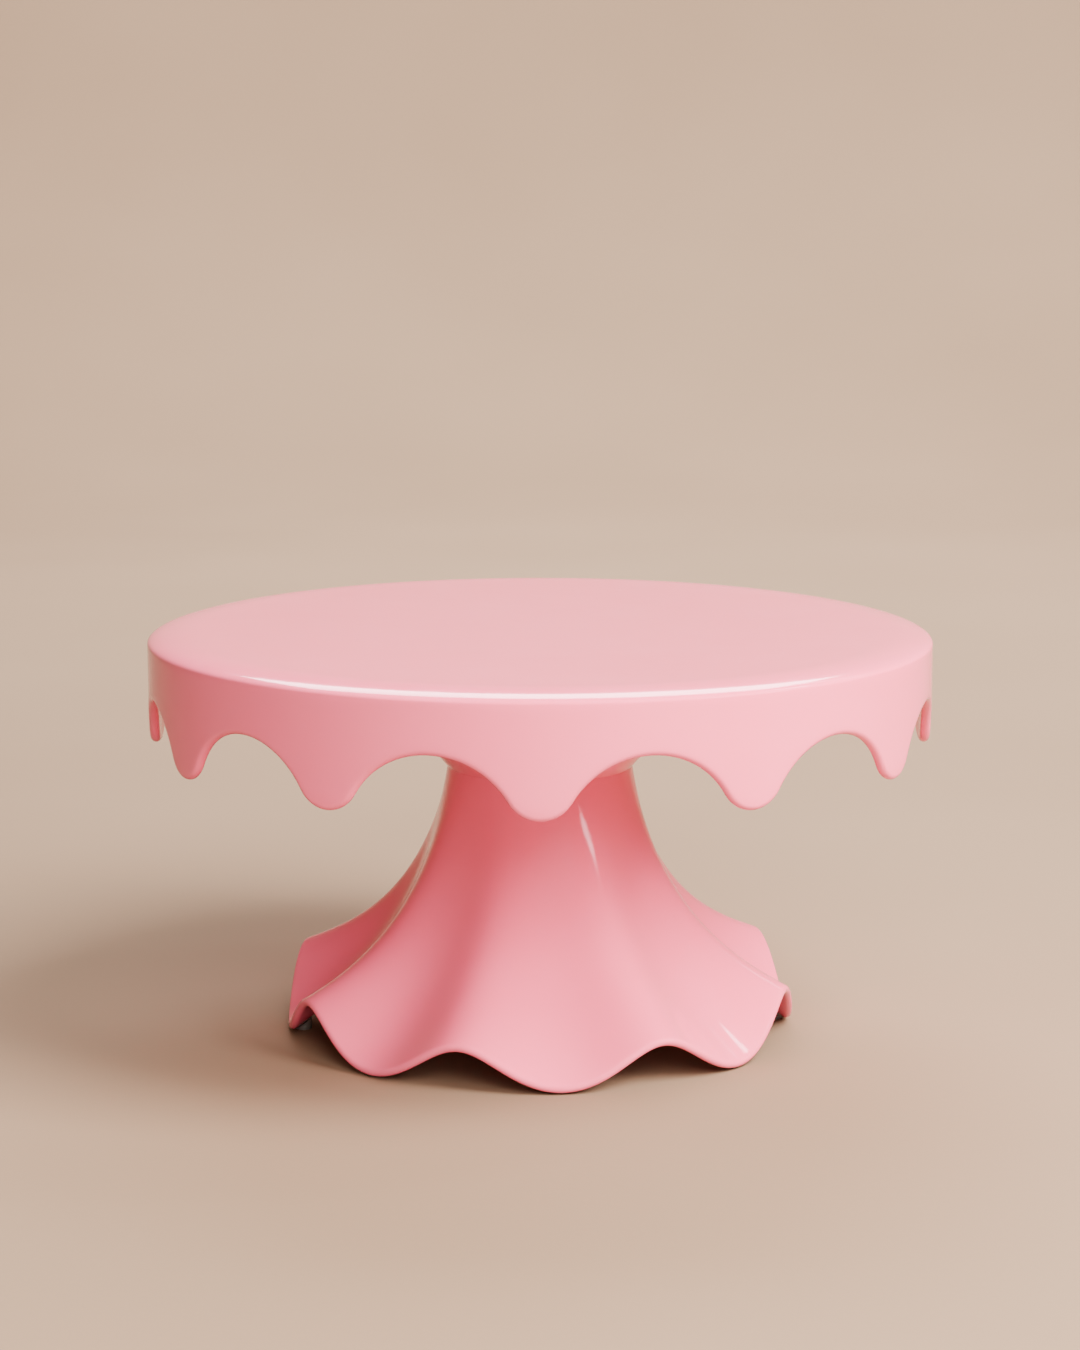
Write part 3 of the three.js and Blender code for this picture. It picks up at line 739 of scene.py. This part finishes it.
def cut_sheet(name, outlines, low, high, edge, material):
    """A flat piece between two heights, from an outline and the holes inside it."""
    curve = bpy.data.curves.new(name, "CURVE")
    curve.dimensions, curve.fill_mode = "2D", "BOTH"
    curve.extrude = (high - low) / 2 - edge
    curve.bevel_depth, curve.bevel_resolution, curve.offset = edge, 2, -edge
    for outline in outlines:
        spline = curve.splines.new("POLY")
        spline.points.add(len(outline) - 1)
        for point, (x, y) in zip(spline.points, outline):
            point.co = (x, y, 0, 1)
        spline.use_cyclic_u = True
    flat = bpy.data.objects.new(name, curve)
    bpy.context.scene.collection.objects.link(flat)
    graph = bpy.context.evaluated_depsgraph_get()
    mesh = bpy.data.meshes.new_from_object(flat.evaluated_get(graph))
    mesh.transform(Matrix.Translation((0, 0, (low + high) / 2)))
    bpy.data.objects.remove(flat)
    made = bpy.data.objects.new(name, mesh)
    bpy.context.scene.collection.objects.link(made)
    mesh.materials.clear()
    mesh.materials.append(material)
    work = bmesh.new()
    work.from_mesh(mesh)
    bmesh.ops.remove_doubles(work, verts=work.verts, dist=1e-7)
    bmesh.ops.recalc_face_normals(work, faces=work.faces)
    work.to_mesh(mesh)
    work.free()
    weigh(made)
    return made


cage_low, cage_high = (corner.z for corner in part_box("ball_cage"))
outlines = [
    circle_places(96, BALL_CIRCLE + CAGE_HALF_WIDTH),
    circle_places(96, BALL_CIRCLE - CAGE_HALF_WIDTH)[::-1],
]
for x, y in circle_places(BALLS, BALL_CIRCLE):
    outlines.append([(x + dx, y + dy) for dx, dy in circle_places(28, SEAT)[::-1]])
cage = cut_sheet("cage_ring", outlines, cage_low, cage_high, 0.25 * MM, natural_nylon)
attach(cage, "cage")
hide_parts("ball_cage")

# ==== Hub =========================================================================
# The pink ABS collar that carries the plate: it goes on with the line of the pedestal's head
# up to a flange under the plate, and its web rests on the upper race.

HUB_LOW, HUB_HIGH = (corner.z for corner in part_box("hub"))
WEB_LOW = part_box("upper_race")[1].z + GAP
HUB_WEB = 4 * MM
HUB_FLANGE = 4 * MM
HUB_FLANGE_RADIUS = 70 * MM
HUB_BOSS = 4 * MM
HUB_BOSS_RADIUS = 9 * MM
HUB_SCREWS = 4
HUB_SCREW_CIRCLE = 62 * MM
FIRST_HUB_SCREW = math.radians(45)


def bend(start, first, second, end, steps=12):
    """Points of a smooth curve, without its last one."""
    points = []
    for t in np.arange(steps) / steps:
        u = 1 - t
        weights = (u**3, 3 * u * u * t, 3 * u * t * t, t**3)
        ends = (start, first, second, end)
        points.append(tuple(sum(w * p[i] for w, p in zip(weights, ends)) for i in (0, 1)))
    return points


flange_low = HUB_HIGH - HUB_FLANGE
web_high = WEB_LOW + HUB_WEB
hub = turned(
    "hub_collar",
    [
        (BORE, WEB_LOW),
        (HEAD_RADIUS - 6 * MM, WEB_LOW),
        (HEAD_RADIUS - 4 * MM, HUB_LOW),
        (HEAD_RADIUS - 0.5 * MM, HUB_LOW),
        *bend(
            (HEAD_RADIUS, HUB_LOW + 0.8 * MM),
            (HEAD_RADIUS + 1.6 * MM, HUB_LOW + 9 * MM),
            (HEAD_RADIUS + 4.8 * MM, HUB_LOW + 17.5 * MM),
            (HEAD_RADIUS + 10 * MM, flange_low),
        ),
        (HEAD_RADIUS + 10 * MM, flange_low),
        (HUB_FLANGE_RADIUS, flange_low),
        (HUB_FLANGE_RADIUS, HUB_HIGH),
        (HEAD_RADIUS + 4 * MM, HUB_HIGH),
        (HEAD_RADIUS - 3 * MM, web_high),
        (HUB_BOSS_RADIUS, web_high),
        (HUB_BOSS_RADIUS, web_high + HUB_BOSS),
        (BORE, web_high + HUB_BOSS),
    ],
    pink_abs,
    edge=0.5 * MM,
    sides=160,
)
hub_places = circle_places(HUB_SCREWS, HUB_SCREW_CIRCLE, FIRST_HUB_SCREW)
drilled(hub, SCREW_HOLE, flange_low - 1 * MM, HUB_HIGH + 1 * MM, hub_places)
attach(hub, "plate")
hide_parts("hub")

# ==== Spindle, washer and circlip =================================================
# A ground steel pin through the hub and both bushes: its head holds the hub down, and a
# washer and a circlip in its groove keep it from lifting out of the pedestal.

SPINDLE_RADIUS = 4 * MM
SPINDLE_HEAD = 3 * MM
CLIP_GROOVE = 0.9 * MM
WASHER_RADIUS = 10 * MM
spindle_low, spindle_high = (corner.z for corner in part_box("spindle"))
head_low = spindle_high - SPINDLE_HEAD
groove_low, groove_high = 76.8 * MM, 78 * MM
spindle = turned(
    "spindle_pin",
    [
        (0, spindle_low),
        (SPINDLE_RADIUS - 0.8 * MM, spindle_low),
        (SPINDLE_RADIUS, spindle_low + 0.8 * MM),
        (SPINDLE_RADIUS, groove_low),
        (SPINDLE_RADIUS - CLIP_GROOVE, groove_low),
        (SPINDLE_RADIUS - CLIP_GROOVE, groove_high),
        (SPINDLE_RADIUS, groove_high),
        (SPINDLE_RADIUS, head_low),
        (2 * SPINDLE_RADIUS, head_low),
        (2 * SPINDLE_RADIUS, spindle_high - 1 * MM),
        (2 * SPINDLE_RADIUS - 1 * MM, spindle_high),
        (0, spindle_high),
    ],
    ground_steel,
    edge=0.15 * MM,
)
washer_low, washer_high = (corner.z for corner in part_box("retaining_washer"))
washer = turned(
    "retaining_washer_ring",
    [
        (BORE, washer_low),
        (WASHER_RADIUS, washer_low),
        (WASHER_RADIUS, washer_high),
        (BORE, washer_high),
    ],
    plated_steel,
    edge=0.15 * MM,
)
clip_low, clip_high = (corner.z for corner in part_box("circlip"))
inner, outer = SPINDLE_RADIUS - 0.6 * MM, SPINDLE_RADIUS + 2.2 * MM
sweep = np.linspace(math.radians(30), math.radians(330), 61)
ring = [(outer * math.sin(a), -outer * math.cos(a)) for a in sweep]
ring += [(inner * math.sin(a), -inner * math.cos(a)) for a in sweep[::-1]]
eyes = []
for side in (-1, 1):
    angle = side * math.radians(38)
    middle = (inner + outer) / 2
    x, y = middle * math.sin(angle), -middle * math.cos(angle)
    eyes.append([(x + dx, y + dy) for dx, dy in circle_places(16, 0.6 * MM)[::-1]])
circlip = cut_sheet("circlip_ring", [ring, *eyes], clip_low, clip_high, 0.06 * MM, plated_steel)
for piece, name in ((spindle, "spindle"), (washer, "retaining_washer"), (circlip, "circlip")):
    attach(piece, "plate")
    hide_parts(name)

# ==== Cake plate ==================================================================
# One moulding of the same gloss ABS: a flat round top with a rounded rim, and a skirt whose
# lower edge runs down in twelve drips. A twelfth of it is shaped and nodes repeat it.

PLATE_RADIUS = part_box("cake_plate")[1].x
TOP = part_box("cake_plate")[1].z
DECK = 6 * MM
SKIRT_WALL = 4 * MM
RIM_WIDE = 17.4 * MM
RIM_DROP = 3.6 * MM
INNER_ROUND = 7 * MM
DRIPS = 12
DRIP_TIP = 44.6 * MM
DRIP_ARCH = 22.4 * MM
DRIP_ROUND = 13 * MM
TOP_RINGS = np.array([0, 50, 90, 116, 128, 131.5]) * MM
UNDERSIDE_RINGS = np.array([138, 110, 70, 0]) * MM

half = math.pi / DRIPS * PLATE_RADIUS
drop = DRIP_TIP - DRIP_ARCH
rise = drop - DRIP_ROUND
arch_round = (half**2 + rise**2 - DRIP_ROUND**2) / (2 * drop)
meet = half * DRIP_ROUND / (DRIP_ROUND + arch_round)


def drip_edge(along):
    """Height of the skirt's edge and its slope, at a length along the skirt from a tip."""
    side = math.copysign(1, along)
    along = abs(along)
    if along < meet:
        fall = math.sqrt(DRIP_ROUND**2 - along**2)
        return TOP - DRIP_TIP + DRIP_ROUND - fall, side * along / fall
    fall = math.sqrt(arch_round**2 - (half - along) ** 2)
    return TOP - DRIP_ARCH - arch_round + fall, side * (half - along) / fall


columns, wall_rows, lip_rows, rim_rows = 64, 12, 10, 16
lip = SKIRT_WALL / 2
inner_radius = PLATE_RADIUS - SKIRT_WALL
grid = []
for along in np.linspace(-half, half, columns + 1):
    edge, slope = drip_edge(along)
    across = math.hypot(1, slope)
    down = np.array([slope, -1]) / across  # away from the plate, square to the skirt's edge
    centre = np.array([along, edge]) - lip * down
    column = [(r, along, TOP) for r in TOP_RINGS]
    for turn in np.linspace(math.pi / 2, 0, rim_rows + 1):
        radius = PLATE_RADIUS - RIM_WIDE * (1 - math.cos(turn))
        column.append((radius, along, TOP - RIM_DROP * (1 - math.sin(turn))))
    break_point = np.array([along, TOP - RIM_DROP])
    for share in np.arange(1, wall_rows + 1) / wall_rows:
        column.append((PLATE_RADIUS, *(break_point + (centre - break_point) * share)))
    for turn in np.linspace(0, math.pi, lip_rows + 1)[1:]:
        spot = centre + lip * math.sin(turn) * down
        column.append((PLATE_RADIUS - lip + lip * math.cos(turn), *spot))
    break_point = np.array([along, TOP - DECK - INNER_ROUND])
    for share in np.arange(1, wall_rows + 1) / wall_rows:
        column.append((inner_radius, *(centre + (break_point - centre) * share)))
    for turn in np.linspace(0, math.pi / 2, 9)[1:]:
        middle = inner_radius - INNER_ROUND
        reach = INNER_ROUND * np.array([math.cos(turn), math.sin(turn)])
        column.append((middle + reach[0], along, TOP - DECK - INNER_ROUND + reach[1]))
    column += [(r, along, TOP - DECK) for r in UNDERSIDE_RINGS]
    grid.append(column)
radius, along, height = np.moveaxis(np.array(grid), 2, 0)
turn = along / PLATE_RADIUS
grid = np.stack([radius * np.sin(turn), -radius * np.cos(turn), height], axis=2)
rows = grid.shape[1]
faces = [
    (c * rows + r, (c + 1) * rows + r, (c + 1) * rows + r + 1, c * rows + r + 1)
    for c in range(columns)
    for r in range(rows - 1)
]
mesh = bpy.data.meshes.new("drip")
mesh.from_pydata(grid.reshape(-1, 3).tolist(), [], faces)
drip = bpy.data.objects.new("drip", mesh)
bpy.context.scene.collection.objects.link(drip)
plate = ring_of("dripping_plate", drip, DRIPS, 0, 0, 0, pink_abs)
work = bmesh.new()
work.from_mesh(plate.data)
bmesh.ops.remove_doubles(work, verts=work.verts, dist=1e-6)
bmesh.ops.dissolve_degenerate(work, edges=work.edges, dist=1e-7)
bmesh.ops.recalc_face_normals(work, faces=work.faces)
work.to_mesh(plate.data)
work.free()
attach(plate, "plate")
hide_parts("cake_plate")

# ==== Hub screws ==================================================================
# Four zinc-plated screws with pan heads, driven up through the hub's flange into the plate.

screw = pan_screw(3.5 * MM, 2.4 * MM, 8.4 * MM)
screw.data.transform(Matrix.Rotation(math.pi, 4, "X"))
level = flange_low - GAP
screws = ring_of(
    "hub_screws", screw, HUB_SCREWS, HUB_SCREW_CIRCLE, FIRST_HUB_SCREW, level, plated_steel
)
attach(screws, "plate")
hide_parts(*[f"hub_screw_{i + 1}" for i in range(HUB_SCREWS)])

# ==== Backdrop ====================================================================
# A sheet of warm beige studio paper: flat under the turntable, curving up all round.

backdrop_paper, tree, shader = new_material("beige_studio_paper", Roughness=0.9)
place = node(tree, "ShaderNodeTexCoord", {}).outputs["Object"]
mottle = node(tree, "ShaderNodeTexNoise", {"Vector": place, "Scale": 3.0, "Detail": 2.0})
fibre = node(tree, "ShaderNodeTexNoise", {"Vector": place, "Scale": 450.0, "Detail": 2.0})
both = node(tree, MATH, {0: fibre, 1: 0.25, 2: mottle}, operation="MULTIPLY_ADD")
toned = node(tree, "ShaderNodeMapRange", {0: both, 1: 0.35, 2: 0.9})
tint = node(tree, MIX, {0: toned, 6: linear("8f7863"), 7: linear("947d68")}, data_type="RGBA")
tree.links.new(tint.outputs[2], shader.inputs["Base Color"])
rough = node(tree, "ShaderNodeBump", {"Height": fibre, "Strength": 0.3, "Distance": 0.1 * MM})
tree.links.new(rough.outputs[0], shader.inputs["Normal"])

flat_radius, bend_radius, height = 1.7, 1.1, 3.6  # metres
profile = [(r, 0) for r in (0, 0.3, 0.6, 0.9, 1.2, 1.5)]
for turn in np.linspace(0, math.pi / 2, 25):
    radius = flat_radius + bend_radius * math.sin(turn)
    profile.append((radius, bend_radius * (1 - math.cos(turn))))
profile.append((flat_radius + bend_radius, height))
sides = 128
angles = np.arange(sides) / sides * math.tau
points = [(r * math.sin(a), -r * math.cos(a), z) for a in angles for r, z in profile]
faces = []
for c in range(sides):
    here, beside = c * len(profile), (c + 1) % sides * len(profile)
    for r in range(len(profile) - 1):
        faces.append((here + r, beside + r, beside + r + 1, here + r + 1))
backdrop = mesh_object("backdrop", points, faces, backdrop_paper)
plain(backdrop)

# ==== Light and camera ============================================================
# A large soft key from the right, front and above, two weaker ones that fill from the front,
# slim panes that only draw the streaks on the gloss, and two more behind for the backdrop.
# The camera is a little above the plate.


def softbox(name, place, target, size, power, along=(0, 0, 1)):
    """A soft area light that the camera doesn't see, its height running along a direction."""
    lamp = bpy.data.lights.new(name, "AREA")
    lamp.shape = "RECTANGLE"
    lamp.size, lamp.size_y = size
    lamp.energy = power
    back = (Vector(place) - Vector(target)).normalized()
    side = Vector(along).cross(back).normalized()
    turn = Matrix((side, back.cross(side), back)).transposed()
    made = bpy.data.objects.new(name, lamp)
    made.location, made.rotation_euler = place, turn.to_euler()
    made.visible_camera = False
    bpy.context.scene.collection.objects.link(made)
    return made


# places and sizes in metres, power in watts
key = softbox("key", (1.02, -0.59, 1.32), (0, 0, 0.1), (0.8, 1.5), 92)
front = softbox("front", (0.26, -1.45, 0.95), (0, 0, 0.1), (0.8, 0.8), 22)
low = softbox("low", (0.1, -1.6, 0.22), (0, 0, 0.08), (1.2, 0.3), 10)
for lamp in (key, front, low):
    lamp.visible_glossy = False  # the gloss mirrors only the slim panes
slant = (0.36, 0.87, 0.31)
pane = (1.26, -0.76, 0.76)
softbox("window", pane, (0, 0, 0.07), (0.14, 0.99), 4.5, slant)
softbox("skylight", (0.86, 0.35, 1.25), (0, 0, 0.03), (0.12, 0.2), 1.5)
softbox("floor", (0, 1.6, 1.6), (0, 1.2, 0), (1.5, 1.0), 49)
softbox("wall", (0.6, 1.3, 1.5), (0.4, 2.6, 0.0), (1.5, 1.0), 24)

world = bpy.data.worlds.new("room")
world.use_nodes = True
room = world.node_tree.nodes["Background"]
room.inputs["Color"].default_value = linear("fff6ee")
room.inputs["Strength"].default_value = 0.15
bpy.context.scene.world = world
bpy.context.scene.view_settings.view_transform = "AgX"
bpy.context.scene.view_settings.look = "AgX - Medium High Contrast"

camera = bpy.data.cameras.new("camera")
camera.lens = 87.886
camera.sensor_width = 36
made = bpy.data.objects.new("camera", camera)
made.location = (0, -1.2517, 0.3502)
made.rotation_euler = (math.radians(90 - 9.606), 0, 0)
bpy.context.scene.collection.objects.link(made)
bpy.context.scene.camera = made
